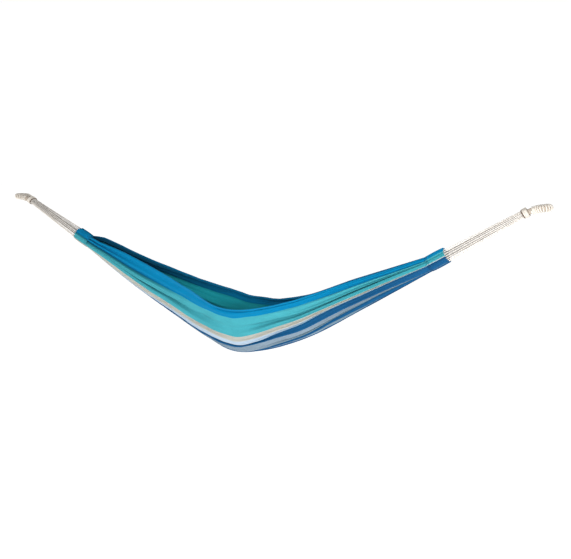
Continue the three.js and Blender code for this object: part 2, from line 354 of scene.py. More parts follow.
def new_material(name: str) -> tuple[bpy.types.Material, NodeBoard, bpy.types.Node]:
    """Make an empty node material.

    Args:
        name: the material's name.

    Returns:
        The material, its node board and its surface shader.
    """
    material = bpy.data.materials.new(name)
    material.use_nodes = True
    material.node_tree.nodes.clear()
    board = NodeBoard(material.node_tree)
    surface = board.add("ShaderNodeBsdfPrincipled")
    board.add("ShaderNodeOutputMaterial", {"Surface": surface.outputs[0]})
    return material, board, surface


@dataclass(frozen=True)
class Stripe:
    """One woven stripe: how far from the selvedge it ends, its dyed colour and how mottled the yarn is."""

    until: float
    colour: Colour
    mottle: float = 0.25


@dataclass(frozen=True)
class StripedCotton:
    """Plain-woven cotton with warp stripes, read from a UV map in metres: across the cloth, then along it."""

    name: str
    half_width: float
    stripes: tuple[Stripe, ...]
    thread_pitch: float = 0.0011
    bump: float = 0.35
    weft: Colour = (30, 92, 146)
    weft_share: float = 0.16

    def stripe_ramp(
        self, board: NodeBoard, across: bpy.types.NodeSocket, mottled: bool
    ) -> bpy.types.NodeSocket:
        """Colour the warp by its distance from the nearer selvedge.

        Args:
            board: the material's nodes.
            across: that distance, as a share of half of the cloth's width.
            mottled: whether to give each stripe's mottle in place of its colour.

        Returns:
            The stripe's colour.
        """
        node = board.add("ShaderNodeValToRGB", {0: across})
        ramp = node.color_ramp
        ramp.interpolation = "CONSTANT"
        start = 0.0
        for index, stripe in enumerate(self.stripes):
            stop = ramp.elements[index] if index < 2 else ramp.elements.new(start / self.half_width)
            stop.position = start / self.half_width
            stop.color = (stripe.mottle,) * 3 + (1.0,) if mottled else linear(stripe.colour)
            start = stripe.until
        return node.outputs[0]

    def build(self) -> bpy.types.Material:
        """Build the woven material."""
        material, board, surface = new_material(self.name)
        uv = board.add("ShaderNodeUVMap", uv_map="UVMap").outputs[0]
        parts = board.add("ShaderNodeSeparateXYZ", {0: uv})
        wander = board.noise(uv, 22.0, 2.0)
        wandered = board.math("MULTIPLY_ADD", board.math("SUBTRACT", wander, 0.5), 0.0022, parts.outputs[0])
        to_middle = board.math("ABSOLUTE", board.math("SUBTRACT", wandered, self.half_width))
        share = board.math("SUBTRACT", 1.0, board.math("DIVIDE", to_middle, self.half_width))
        warp = self.stripe_ramp(board, share, mottled=False)
        mottle = self.stripe_ramp(board, share, mottled=True)
        # Yarns are dyed unevenly: short flecks and longer clouds lie along the warp, slubs along the weft.
        flecks = board.drawn_noise(uv, (900.0, 55.0, 1.0), 3.0)
        slubs = board.drawn_noise(uv, (45.0, 700.0, 1.0), 2.0)
        clouds = board.drawn_noise(uv, (30.0, 9.0, 1.0), 3.0)
        uneven = board.math("ADD", board.swing(flecks, 1.5), board.swing(clouds, 1.1))
        lightness = board.math("ADD", 1.0, board.math("MULTIPLY", uneven, mottle))
        # Painted shade: folds that close up, and the far wall's inside, let little light out again, more than
        # the renderer's own shadows show.
        kept = board.add("ShaderNodeAttribute", attribute_name="kept_light").outputs["Color"]
        dyed_and_shaded = board.mix("MULTIPLY", 1.0, warp, kept)
        value = board.add("ShaderNodeHueSaturation", {"Value": lightness, "Color": dyed_and_shaded}).outputs[0]
        # The weft is one colour all along, and shows a little between the warp threads.
        weft_share = board.math("MULTIPLY", board.math("POWER", slubs, 2.0), self.weft_share)
        woven = board.mix("MIX", weft_share, value, linear(self.weft))
        wave = 2 * math.pi / self.thread_pitch
        tooth_across, tooth_along = [
            board.math("SINE", board.math("MULTIPLY", place, wave)) for place in (wandered, parts.outputs[1])
        ]
        tooth = board.math("MULTIPLY", tooth_across, tooth_along)
        shade = board.grey(board.math("MULTIPLY_ADD", tooth, 0.035, 0.985))
        board.put(surface, "Base Color", board.mix("MULTIPLY", 1.0, woven, shade))
        height = board.math("ADD", board.math("MULTIPLY", tooth, 0.5), board.math("MULTIPLY", slubs, 0.9))
        bump = board.add("ShaderNodeBump", {"Height": height, "Strength": self.bump, "Distance": 0.0006})
        board.put(surface, "Normal", bump.outputs[0])
        board.put(surface, "Roughness", board.math("MULTIPLY_ADD", flecks, 0.16, 0.76))
        surface.inputs["Specular IOR Level"].default_value = 0.06
        surface.inputs["Sheen Weight"].default_value = 0.02
        surface.inputs["Sheen Roughness"].default_value = 0.45
        return material


@dataclass(frozen=True)
class SpunCotton:
    """Twisted cotton yarn: a body colour with painted shade in darker grooves, and fibres that run slantwise
    round it.

    Where dusk is given, a cord gets painted shade: darker by that share past dusk_from, its length in metres
    from its start.
    """

    name: str
    colour: Colour
    shadow: Colour
    fibre_scale: float = 900.0
    slant: float = 1.0
    bump: float = 0.5
    dusk_from: float = 0.0
    dusk: float = 0.0
    dusk_ease: float = 0.03

    def build(self) -> bpy.types.Material:
        """Build the yarn material on the piece's own coordinates."""
        material, board, surface = new_material(self.name)
        place = board.add("ShaderNodeTexCoord").outputs["Object"]
        turn = (0.0, 0.55 * self.slant, 0.0)
        stretched = board.add("ShaderNodeMapping", {0: place, 2: turn, 3: (0.25, 1.0, 1.0)}).outputs[0]
        fibres = board.noise(stretched, self.fibre_scale, 3.0)
        soil = board.noise(place, 16.0, 3.0)
        share = board.math("MULTIPLY_ADD", board.math("SUBTRACT", fibres, 0.5), 1.3, 0.62)
        clamped = board.math("MINIMUM", board.math("MAXIMUM", share, 0.0), 1.0)
        # Painted shade: the shadow colour darkens the yarn where the fibres' bump is low, in its grooves.
        yarn = board.mix("MIX", clamped, linear(self.shadow), linear(self.colour))
        soil_and_shade = board.math("MULTIPLY_ADD", soil, 0.16, 0.90)
        if self.dusk:
            # Painted shade: the half of a cord that runs back inside the others lies in their shade.
            uv = board.add("ShaderNodeUVMap", uv_map="UVMap").outputs[0]
            gone = board.add("ShaderNodeSeparateXYZ", {0: uv}).outputs[0]
            dusk_to = self.dusk_from + self.dusk_ease
            dusk = {0: gone, 1: self.dusk_from, 2: dusk_to, 3: 1.0, 4: 1.0 - self.dusk}
            soil_and_shade = board.math("MULTIPLY", soil_and_shade, board.add("ShaderNodeMapRange", dusk).outputs[0])
        board.put(surface, "Base Color", board.mix("MULTIPLY", 1.0, yarn, board.grey(soil_and_shade)))
        bump = board.add("ShaderNodeBump", {"Height": fibres, "Strength": self.bump, "Distance": 0.0005})
        board.put(surface, "Normal", bump.outputs[0])
        board.put(surface, "Roughness", board.math("MULTIPLY_ADD", fibres, 0.15, 0.78))
        surface.inputs["Specular IOR Level"].default_value = 0.2
        surface.inputs["Sheen Weight"].default_value = 0.1
        surface.inputs["Sheen Roughness"].default_value = 0.5
        return material


BRIGHT_BLUE: Colour = (0, 122, 168)
TURQUOISE: Colour = (66, 157, 167)
BEIGE: Colour = (174, 174, 164)
PALE: Colour = (170, 187, 202)
ROYAL: Colour = (22, 81, 124)
GREY: Colour = (124, 141, 154)

STRIPES = (
    Stripe(0.078, BRIGHT_BLUE, 0.10),
    Stripe(0.190, TURQUOISE, 0.24),
    Stripe(0.221, BEIGE, 0.30),
    Stripe(0.245, PALE, 0.16),
    Stripe(0.282, ROYAL, 0.20),
    Stripe(0.340, GREY, 0.34),
    Stripe(0.366, ROYAL, 0.20),
    Stripe(0.372, GREY, 0.34),
    Stripe(0.375, ROYAL, 0.20),
    Stripe(0.386, GREY, 0.34),
    Stripe(0.446, ROYAL, 0.20),
    Stripe(0.470, TURQUOISE, 0.24),
    Stripe(0.500, ROYAL, 0.20),
)


@dataclass
class Wardrobe:
    """Every finish that the pieces wear, built once."""

    cloth: bpy.types.Material = field(init=False)
    hem: bpy.types.Material = field(init=False)
    cord: bpy.types.Material = field(init=False)
    looped_cord: bpy.types.Material = field(init=False)
    serving: bpy.types.Material = field(init=False)
    thread: bpy.types.Material = field(init=False)
    shadow_tie: bpy.types.Material = field(init=False)
    core: bpy.types.Material = field(init=False)
    selvedge: bpy.types.Material = field(init=False)

    def __post_init__(self) -> None:
        """Build the finishes."""
        self.cloth = StripedCotton("striped_cotton", 0.5, STRIPES).build()
        self.hem = StripedCotton("striped_hem_cotton", 0.5, STRIPES, bump=0.5).build()
        self.cord = SpunCotton("laid_cotton_cord", (236, 230, 222), (214, 206, 197), bump=0.3).build()
        # The looped cords carry painted shade on the half that runs back.
        self.looped_cord = SpunCotton(
            "looped_cotton_cord", (236, 231, 224), (212, 205, 197), bump=0.3, dusk_from=0.385, dusk=0.52
        ).build()
        self.serving = SpunCotton(
            "wound_cotton_cord", (224, 218, 209), (196, 187, 175), slant=-1.0, bump=0.3
        ).build()
        self.core = SpunCotton("core_cotton_cord", (192, 181, 168), (150, 136, 122), bump=0.3).build()
        self.thread = SpunCotton("navy_seam_thread", (22, 58, 104), (8, 26, 56), fibre_scale=1600.0).build()
        # A dark tie thread at each neck, also a painted shadow line where the binding meets the harness.
        self.shadow_tie = SpunCotton("painted_shadow_tie_thread", (128, 108, 92), (70, 56, 48), fibre_scale=1600.0).build()
        self.selvedge = SpunCotton("selvedge_thread", (8, 112, 160), (2, 78, 120), fibre_scale=1600.0).build()


# ---- the two ends ----


class End(Enum):
    """The two ends of the hammock, with the fall per length of each harness."""

    HEAD = ("head", 0.54, 1)
    FOOT = ("foot", 0.60, -1)

    @property
    def title(self) -> str:
        """The name that the end's nodes start with."""
        return self.value[0]

    @property
    def slope(self) -> float:
        """The fall per length of the harness."""
        return self.value[1]

    @property
    def towards(self) -> int:
        """The sign of the way to the middle of the bed, along X."""
        return self.value[2]


@dataclass(frozen=True)
class HarnessLine:
    """The straight line of one end's harness, with its own axes."""

    end: End
    span: float = 2.880
    eye_reach: float = 0.100
    neck_drop: float = 0.028
    serving_radius: float = 0.0169

    @property
    def crown_x(self) -> float:
        """Where the middle of the crown lies, along X."""
        return (0.0 if self.end is End.HEAD else self.span) - self.end.towards * self.serving_radius

    @property
    def neck(self) -> np.ndarray:
        """The point where the harness leaves the neck."""
        return np.array([self.crown_x + self.end.towards * self.eye_reach, 0.0, -self.neck_drop])

    @property
    def flat(self) -> float:
        """Length along X for each length along the harness."""
        return 1 / math.hypot(1, self.end.slope)

    @property
    def along(self) -> np.ndarray:
        """From the neck to the middle of the bed."""
        return np.array([self.end.towards * self.flat, 0.0, -self.end.slope * self.flat])

    @property
    def up(self) -> np.ndarray:
        """Square to the harness, and upwards."""
        return np.array([self.end.towards * self.end.slope * self.flat, 0.0, self.flat])

    def at(self, along: float, across: float, up: float) -> np.ndarray:
        """A point given on the end's own axes."""
        return self.neck + self.along * along + Y_AXIS * across + self.up * up

    def ring(self, along: float, radius: float, angle: float) -> np.ndarray:
        """A point on a ring round the line, at an angle from straight down."""
        return self.at(along, radius * math.sin(angle), -radius * math.cos(angle))

    def eye_point(self, reach: float, across: float) -> np.ndarray:
        """A point of the eye's centre line, from its plan."""
        curve = 2 * (self.eye_reach - self.neck_drop / self.end.slope)
        drop = self.end.slope * (reach * reach / (2 * curve) if reach < curve else reach - curve / 2)
        return np.array([self.crown_x + self.end.towards * reach, across, -drop])

    @property
    def bodies(self) -> tuple[str, str]:
        """The bodies on the two sides of this end's neck, in the order of the joint."""
        return ("head_eye", "bed") if self.end is End.HEAD else ("bed", "foot_eye")


# ---- camera, light and floor ----


@dataclass(frozen=True)
class SoftLight:
    """A square soft light: where it hangs, what it faces, its side in metres and its power in watts."""

    name: str
    place: tuple[float, float, float]
    target: tuple[float, float, float]
    size: float
    power: float

    def hang(self) -> None:
        """Hang the light in the scene."""
        data = bpy.data.lights.new(self.name, "AREA")
        data.size = self.size
        data.energy = self.power
        light = bpy.data.objects.new(self.name, data)
        light.location = self.place
        facing = Vector(self.target) - Vector(self.place)
        light.rotation_euler = facing.to_track_quat("-Z", "Y").to_euler()
        bpy.context.scene.collection.objects.link(light)


@dataclass
class Studio:
    """A plain pale studio round the hammock, seen a little from above and from the foot end."""

    place: tuple[float, float, float] = (3.104, -3.094, 0.169)
    tilt: float = 80.8
    pan: float = 24.5
    lens: float = 43.9
    floor_height: float = -1.30
    floor_reach: float = 40.0
    floor_glow: float = 0.62
    walls: float = 1.02
    ceiling: float = 0.30
    soft_lights: tuple[SoftLight, ...] = (
        SoftLight("key_light", (2.9, -2.9, -0.35), (1.45, 0.0, -0.45), 1.5, 36.0),
        SoftLight("foot_light", (3.5, -1.9, 0.5), (2.2, 0.0, -0.35), 0.8, 24.0),
        SoftLight("head_light", (-0.4, -2.4, 0.0), (0.5, 0.0, -0.35), 1.2, 7.0),
    )

    def set_camera(self) -> None:
        """Place the camera."""
        data = bpy.data.cameras.new("studio_camera")
        data.lens = self.lens
        data.sensor_width = 36.0
        camera = bpy.data.objects.new("studio_camera", data)
        camera.location = self.place
        camera.rotation_euler = Euler((math.radians(self.tilt), 0.0, math.radians(self.pan)))
        bpy.context.scene.collection.objects.link(camera)
        bpy.context.scene.camera = camera

    def lay_floor(self) -> None:
        """Lay the pale floor under the hammock."""
        material, board, surface = new_material("pale_floor_paper")
        grain = board.add("ShaderNodeTexNoise", {"Scale": 40.0, "Detail": 2.0}).outputs[0]
        board.put(surface, "Base Color", board.grey(board.math("MULTIPLY_ADD", grain, 0.01, 0.955)))
        surface.inputs["Roughness"].default_value = 0.95
        surface.inputs["Specular IOR Level"].default_value = 0.0
        surface.inputs["Emission Color"].default_value = (1.0, 1.0, 1.0, 1.0)
        surface.inputs["Emission Strength"].default_value = self.floor_glow
        corners = ((-1, -1), (1, -1), (1, 1), (-1, 1))
        points = [(x * self.floor_reach, y * self.floor_reach, self.floor_height) for x, y in corners]
        make_object("studio_floor", np.array(points), [(0, 1, 2, 3)], material)

    def light(self) -> None:
        """Light the scene with a white surround and three soft lights."""
        scene = bpy.context.scene
        scene.view_settings.view_transform = "Standard"
        scene.view_settings.look = "None"
        scene.view_settings.exposure = 0.0
        world = bpy.data.worlds.new("studio_surround")
        world.use_nodes = True
        world.node_tree.nodes.clear()
        board = NodeBoard(world.node_tree)
        place = board.add("ShaderNodeTexCoord").outputs["Generated"]
        height = board.add("ShaderNodeSeparateXYZ", {0: place}).outputs[2]
        # White walls up to a little above the horizon, and a dimmer ceiling.
        fade = {0: height, 1: 0.26, 2: 0.62, 3: self.walls, 4: self.ceiling}
        strength = board.add("ShaderNodeMapRange", fade).outputs[0]
        sky = board.add("ShaderNodeBackground", {"Color": (1.0, 1.0, 1.0, 1.0), "Strength": strength})
        board.add("ShaderNodeOutputWorld", {"Surface": sky.outputs[0]})
        scene.world = world
        for soft_light in self.soft_lights:
            soft_light.hang()


# ---- the harness ----


@dataclass
class Harness:
    """Sixteen laid cords at one end, each looped round the hem cord, and the hem cord itself."""

    line: HarnessLine
    wardrobe: Wardrobe
    cords: int = 16
    diameter: float = 0.004
    hem_cord_diameter: float = 0.006
    lay_length: float = 0.013
    turn_along: float = 0.372
    turn_radius: float = 0.008
    ring_radius: float = 0.023
    spread: float = math.radians(141)
    hem_spread: float = math.radians(146)
    tuck: float = 0.008
    past_neck: float = 0.012
    settled_along: float = 0.070
    turn_steps: int = 12
    strands: int = 3
    twist_steps: int = 9
    outer_oval: tuple[float, float] = (0.0212, 0.0156)
    inner_oval: tuple[float, float] = (0.0168, 0.0112)

    def route(self, index: int) -> np.ndarray:
        """Lay out one cord: from the neck to the hem, round the hem cord, and back.

        Args:
            index: which cord, from 0.

        Returns:
            The points of its centre line.
        """
        neck_angle = (2 * (index + 0.5) / self.cords - 1) * math.pi
        hem_angle = (2 * index / (self.cords - 1) - 1) * self.spread

        def neck_point(along: float, oval: tuple[float, float]) -> np.ndarray:
            return self.line.at(along, oval[0] * math.sin(neck_angle), -oval[1] * math.cos(neck_angle))

        def turn_point(turn: float) -> np.ndarray:
            radius = self.ring_radius + self.turn_radius * math.cos(turn)
            return self.line.ring(self.turn_along + self.turn_radius * math.sin(turn), radius, hem_angle)

        out_from, out_to = neck_point(self.past_neck, self.outer_oval), turn_point(0.0)
        back_from, back_to = turn_point(math.pi), neck_point(self.past_neck, self.inner_oval)
        points = [neck_point(-self.tuck, self.outer_oval)]
        points += [out_from + (out_to - out_from) * share for share in (0.0, 0.25, 0.5, 0.75)]
        points += [turn_point(step / self.turn_steps * math.pi) for step in range(self.turn_steps + 1)]
        points += [back_from + (back_to - back_from) * share for share in (0.25, 0.5, 0.75, 1.0)]
        points.append(neck_point(-self.tuck, self.inner_oval))
        return np.array(points)

    def lay_cord(
        self,
        name: str,
        route: np.ndarray,
        diameter: float,
        side: np.ndarray,
        phase: float,
        finish: bpy.types.Material,
    ) -> bpy.types.Object:
        """Make one laid cord along a route.

        Args:
            name: the piece's name.
            route: the points of its centre line.
            diameter: across the cord.
            side: the direction that its first strand starts from.
            phase: how far its strands have turned at the start, in radians.
            finish: the material it gets.

        Returns:
            The cord.
        """
        points = resample(route, self.lay_length * diameter / self.diameter / self.twist_steps)
        turns = np.arange(len(points)) * (2 * math.pi / self.twist_steps) + phase
        return tube(name, points, laid_outline(diameter, self.strands, 5), side, turns, finish)

    def build(self) -> list[bpy.types.Object]:
        """Returns:
            The cords and the hem cord.
        """
        title = self.line.end.title
        rng = np.random.default_rng(11 if self.line.end is End.HEAD else 12)
        neck, settled = self.line.at(0.0, 0.0, 0.0), self.line.at(self.settled_along, 0.0, 0.0)
        pieces = []
        for index in range(self.cords):
            route = self.route(index)
            node = f"{title}_cord_{index + 1:02d}"
            phase = rng.uniform(0, 6.28)
            name = f"{title}_harness_cord_{index + 1:02d}"
            finish = self.wardrobe.looped_cord
            cord = self.lay_cord(name, route, self.diameter, Y_AXIS, phase, finish)
            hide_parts(node)
            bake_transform(cord)
            pieces.append(cord)
        angles = np.linspace(-self.hem_spread, self.hem_spread, 49)
        ring = np.array([self.line.ring(self.turn_along, self.ring_radius, angle) for angle in angles])
        name = f"{title}_hem_draw_cord"
        finish = self.wardrobe.cord
        hem_cord = self.lay_cord(name, ring, self.hem_cord_diameter, self.line.along, 0.4, finish)
        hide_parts(f"{title}_hem_cord")
        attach(hem_cord, "bed")
        pieces.append(hem_cord)
        LOG.info("%s harness: %d cords of %.3f m", title, self.cords, line_length(self.route(0)))
        return pieces


# ---- shapes that follow a path, as geometry nodes ----


class PathTree:
    """A geometry node tree that grows something along a path, and the means to run it on one."""

    def __init__(self, name: str, inputs: Sequence[tuple[str, str]]) -> None:
        """Start a tree with a geometry input and the named inputs, each with its socket type."""
        self.tree = bpy.data.node_groups.new(name, "GeometryNodeTree")
        self.board = NodeBoard(self.tree)
        self.sockets: dict[str, str] = {}
        self.tree.interface.new_socket("Path", in_out="INPUT", socket_type="NodeSocketGeometry")
        for title, kind in (*inputs, ("Finish", "NodeSocketMaterial")):
            socket = self.tree.interface.new_socket(title, in_out="INPUT", socket_type=kind)
            self.sockets[title] = socket.identifier
        self.tree.interface.new_socket("Mesh", in_out="OUTPUT", socket_type="NodeSocketGeometry")
        self.start = self.board.add("NodeGroupInput")

    def input(self, title: str) -> bpy.types.NodeSocket:
        """The group input socket with this name."""
        return self.start.outputs[title]

    def close(self, grown: bpy.types.NodeSocket) -> None:
        """End the tree: smooth, realize, and set the material."""
        smooth = self.board.add("GeometryNodeSetShadeSmooth", {0: grown})
        real = self.board.add("GeometryNodeRealizeInstances", {0: smooth.outputs[0]})
        dress = {0: real.outputs[0], "Material": self.input("Finish")}
        dressed = self.board.add("GeometryNodeSetMaterial", dress)
        self.board.add("NodeGroupOutput", {0: dressed.outputs[0]})

    def grow(
        self, name: str, paths: Sequence[np.ndarray], finish: bpy.types.Material, **values: float
    ) -> bpy.types.Object:
        """Run the tree on open paths and keep the result as a plain mesh.

        Args:
            name: the piece's name.
            paths: the points of each path.
            finish: the material it gets.
            values: the tree's own inputs, by name, with _ for a space.

        Returns:
            The grown piece.
        """
        data = bpy.data.curves.new(name + "_path", "CURVE")
        data.dimensions = "3D"
        data.twist_mode = "Z_UP"
        for points in paths:
            spline = data.splines.new("POLY")
            spline.points.add(len(points) - 1)
            spline.points.foreach_set("co", np.c_[points, np.ones(len(points))].ravel())
        carrier = bpy.data.objects.new(name + "_path", data)
        bpy.context.scene.collection.objects.link(carrier)
        modifier = carrier.modifiers.new("grown", "NODES")
        modifier.node_group = self.tree
        modifier[self.sockets["Finish"]] = finish
        for title, value in values.items():
            modifier[self.sockets[title.replace("_", " ")]] = value
        depsgraph = bpy.context.evaluated_depsgraph_get()
        mesh = bpy.data.meshes.new_from_object(carrier.evaluated_get(depsgraph), depsgraph=depsgraph)
        bpy.data.objects.remove(carrier)
        bpy.data.curves.remove(data)
        mesh.name = name
        piece = bpy.data.objects.new(name, mesh)
        bpy.context.scene.collection.objects.link(piece)
        return piece


def winding_tree() -> PathTree:
    """Build the tree that winds a round cord along a path, in a circle or an oval.

    Returns:
        A tree with the two radii of the winding, its pitch, the steps in a turn and the cord's radius.
    """
    sizes = ("Side Radius", "Top Radius", "Pitch", "Steps", "Cord Radius")
    winding = PathTree("cord_winding", [(name, "NodeSocketFloat") for name in sizes])
    board = winding.board
    step = board.math("DIVIDE", winding.input("Pitch"), winding.input("Steps"))
    spaced = board.add("GeometryNodeResampleCurve", {0: winding.input("Path")}, mode="LENGTH")
    board.put(spaced, "Length", step)
    place = board.add("GeometryNodeInputIndex").outputs[0]
    angle = board.math("DIVIDE", board.math("MULTIPLY", place, 2 * math.pi), winding.input("Steps"))
    tangent = board.add("GeometryNodeInputTangent").outputs[0]
    normal = board.add("GeometryNodeInputNormal").outputs[0]
    top = board.add("ShaderNodeVectorMath", {0: tangent, 1: normal}, operation="CROSS_PRODUCT").outputs[0]
    parts = []
    for way, wave, radius in ((normal, "COSINE", "Side Radius"), (top, "SINE", "Top Radius")):
        reach = board.math("MULTIPLY", board.math(wave, angle), winding.input(radius))
        part = board.add("ShaderNodeVectorMath", {0: way, "Scale": reach}, operation="SCALE")
        parts.append(part.outputs[0])
    offset = board.add("ShaderNodeVectorMath", dict(enumerate(parts)), operation="ADD").outputs[0]
    moved = board.add("GeometryNodeSetPosition", {0: spaced.outputs[0], "Offset": offset}).outputs[0]
    outline = {"Resolution": 7, "Radius": winding.input("Cord Radius")}
    circle = board.add("GeometryNodeCurvePrimitiveCircle", outline).outputs[0]
    swept = board.add("GeometryNodeCurveToMesh", {0: moved, 1: circle, "Fill Caps": True})
    winding.close(swept.outputs[0])
    return winding


def stitch_tree() -> PathTree:
    """Build the tree that sets short stitches in a row along a path.

    Returns:
        A tree with the pitch of the stitches, their length and their width.
    """
    sizes = ("Pitch", "Length", "Width")
    stitching = PathTree("seam_stitches", [(name, "NodeSocketFloat") for name in sizes])
    board = stitching.board
    spaced = board.add("GeometryNodeResampleCurve", {0: stitching.input("Path")}, mode="LENGTH")
    board.put(spaced, "Length", stitching.input("Pitch"))
    ball = board.add("GeometryNodeMeshUVSphere", {"Segments": 8, "Rings": 5, "Radius": 0.5}).outputs[0]
    tangent = board.add("GeometryNodeInputTangent").outputs[0]
    turned = board.add("FunctionNodeAlignRotationToVector", {"Vector": tangent}, axis="X").outputs[0]
    length, width = stitching.input("Length"), stitching.input("Width")
    size = board.add("ShaderNodeCombineXYZ", {0: length, 1: width, 2: width}).outputs[0]
    stitch = {0: spaced.outputs[0], "Instance": ball, "Rotation": turned, "Scale": size}
    placed = board.add("GeometryNodeInstanceOnPoints", stitch)
    stitching.close(placed.outputs[0])
    return stitching


# ---- the eyes ----


@dataclass
class Eye:
    """The served loop at one end: a bundle of cords, the cord wound round it, and the neck binding."""

    line: HarnessLine
    wardrobe: Wardrobe
    winding: PathTree
    half_width: float = 0.030
    crown_half_flat: float = 0.008
    core_radius: float = 0.012
    leg_half_gap: float = 0.0123
    served_half_gap: float = 0.0172
    serving_gap: float = 0.014
    serving_cord: float = 0.0033
    serving_pitch: float = 0.0082
    binding_length: float = 0.022
    binding_outside: tuple[float, float] = (0.0306, 0.0222)
    binding_cord: float = 0.0017
    binding_pitch: float = 0.0030
    # The dark tie at the neck, which also paints the shadow line there.
    shadow_tie_outside: tuple[float, float] = (0.0271, 0.0192)
    shadow_tie_from: float = -0.0005
    shadow_tie_to: float = 0.0035
    shadow_tie_cord: float = 0.0011
    shadow_tie_pitch: float = 0.0018

    def half_plan(self, with_tail: bool) -> list[tuple[float, float]]:
        """Draw half of the loop in plan, from the crown to the end of one leg.

        Args:
            with_tail: whether the leg goes on as bare core into the binding.

        Returns:
            Pairs of reach from the crown and place across.
        """
        shoulder = self.half_width - self.crown_half_flat
        plan = [
            (shoulder * (1 - math.cos(turn)), self.crown_half_flat + shoulder * math.sin(turn))
            for turn in np.linspace(0, math.pi / 2, 13)
        ]
        binding_start = self.line.eye_reach - (self.binding_length + 0.001) * self.line.flat
        serving_end = binding_start - self.serving_gap
        stretches = [(shoulder, serving_end, self.half_width, self.served_half_gap)]
        if with_tail:
            stretches.append((serving_end, binding_start, self.served_half_gap, self.leg_half_gap))
        for from_reach, to_reach, from_across, to_across in stretches:
            for share in np.linspace(0, 1, 17)[1:]:
                ease = (1 - math.cos(share * math.pi)) / 2
                reach = from_reach + (to_reach - from_reach) * share
                plan.append((reach, from_across + (to_across - from_across) * ease))
        if with_tail:
            plan.append((self.line.eye_reach - 0.010 * self.line.flat, self.leg_half_gap))
        return plan

    def loop(self, with_tail: bool) -> np.ndarray:
        """The loop's centre line, from the end of the -Y leg round the crown to the end of the +Y leg."""
        plan = self.half_plan(with_tail)
        near = [self.line.eye_point(reach, -across) for reach, across in reversed(plan)]
        far = [self.line.eye_point(reach, across) for reach, across in plan]
        return np.array(near + far)

    def build(self) -> list[bpy.types.Object]:
        """Make the core, the serving, the binding and the tie of one eye; the tie's dark thread also stands
        in as a painted shadow line at the neck.
        """
        title = self.line.end.title
        body = f"{title}_eye"
        points = resample(self.loop(with_tail=True), 0.003)
        turns = np.arange(len(points)) * 0.09
        outline = laid_outline(2 * self.core_radius, 9, 5)
        core = tube(f"{title}_eye_cord_bundle", points, outline, Z_AXIS, turns, self.wardrobe.core)
        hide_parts(f"{title}_eye_core")
        radius = self.line.serving_radius - self.serving_cord
        serving = self.winding.grow(
            f"{title}_eye_winding",
            [resample(self.loop(with_tail=False), 0.002)],
            self.wardrobe.serving,
            Side_Radius=radius,
            Top_Radius=radius,
            Pitch=self.serving_pitch,
            Steps=16.0,
            Cord_Radius=self.serving_cord,
        )
        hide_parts(f"{title}_eye_serving")
        inset = self.binding_cord
        path = np.array([self.line.at(-self.binding_length + inset, 0, 0), self.line.at(-inset, 0, 0)])
        binding = self.winding.grow(
            f"{title}_neck_wrap",
            [path],
            self.wardrobe.serving,
            Side_Radius=self.binding_outside[0] - inset,
            Top_Radius=self.binding_outside[1] - inset,
            Pitch=self.binding_pitch,
            Steps=36.0,
            Cord_Radius=inset,
        )
        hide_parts(f"{title}_neck_binding")
        # Painted shadow: the dark tie also stands in for the shadow line where the binding meets the harness.
        shadow_tie_path = np.array([self.line.at(self.shadow_tie_from, 0, 0), self.line.at(self.shadow_tie_to, 0, 0)])
        shadow_tie = self.winding.grow(
            f"{title}_neck_shadow_tie",
            [shadow_tie_path],
            self.wardrobe.shadow_tie,
            Side_Radius=self.shadow_tie_outside[0],
            Top_Radius=self.shadow_tie_outside[1],
            Pitch=self.shadow_tie_pitch,
            Steps=36.0,
            Cord_Radius=self.shadow_tie_cord,
        )
        pieces = [core, serving, binding, shadow_tie]
        for piece in pieces:
            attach(piece, body)
        LOG.info("%s eye: winding pitch %.4f m", title, self.serving_pitch)
        return pieces


# ---- the bed ----


@dataclass(frozen=True)
class Pleat:
    """A lengthwise fold zone of the cloth.

    It runs between two distances from the selvedge, and openness says how much of its width still shows at
    each of the bed's stations: 1 lies flat, and 0 has its two sides folded right up to each other. The far
    half of the cloth takes far_openness where it is given.
    """

    start: float
    stop: float
    openness: tuple[float, ...]
    far_openness: tuple[float, ...] = ()


# Shares of the way from the head seam to the foot seam at which each pleat's openness is given.
STATIONS = (0.0, 0.10, 0.36, 0.575, 0.77, 0.93, 1.0)

# The openness is averaged over these shifts, so that it eases from station to station.
EASING = np.linspace(-0.05, 0.05, 9)

WALL_PLEATS = (
    Pleat(
        0.006, 0.050,
        (0.38, 0.90, 0.97, 0.44, 0.04, 0.06, 0.30),
        (0.15, 0.22, 0.24, 0.24, 0.20, 0.10, 0.30),
    ),
    Pleat(
        0.050, 0.090,
        (0.55, 0.73, 0.96, 1.00, 0.80, 0.45, 0.50),
        (0.50, 0.82, 0.86, 0.86, 0.60, 0.45, 0.50),
    ),
    Pleat(0.090, 0.112, (0.50, 0.80, 1.00, 1.00, 0.92, 0.36, 0.10)),
    Pleat(0.112, 0.175, (0.05, 0.10, 0.82, 1.00, 0.29, 0.15, 0.03)),
    Pleat(0.175, 0.190, (0.90, 0.90, 0.95, 1.00, 0.54, 1.00, 0.91)),
    Pleat(0.190, 0.221, (0.97, 1.00, 0.67, 0.89, 0.50, 0.17, 0.04)),
    Pleat(0.221, 0.245, (0.10, 0.45, 0.93, 1.00, 0.20, 0.04, 0.03)),
    Pleat(0.245, 0.282, (0.02, 0.03, 0.80, 0.19, 0.93, 0.66, 1.00)),
    Pleat(0.282, 0.304, (0.01, 0.02, 0.20, 1.00, 1.00, 0.10, 0.03)),
    Pleat(0.304, 0.340, (0.01, 0.02, 0.12, 1.00, 0.19, 0.03, 0.03)),
    Pleat(0.340, 0.366, (0.02, 0.02, 0.15, 0.30, 0.59, 1.00, 0.45)),
    Pleat(0.366, 0.392, (0.02, 0.02, 0.15, 0.12, 1.00, 0.50, 0.03)),
)


@dataclass(frozen=True)
class FoldShade:
    """A lengthwise line of the cloth painted darker, as shade, where it lies in a fold.

    It says how far from the selvedge the line lies, how wide the shade is, and how dark by share of the bed.
    """

    place: float
    width: float
    depth: tuple[tuple[float, float], ...]
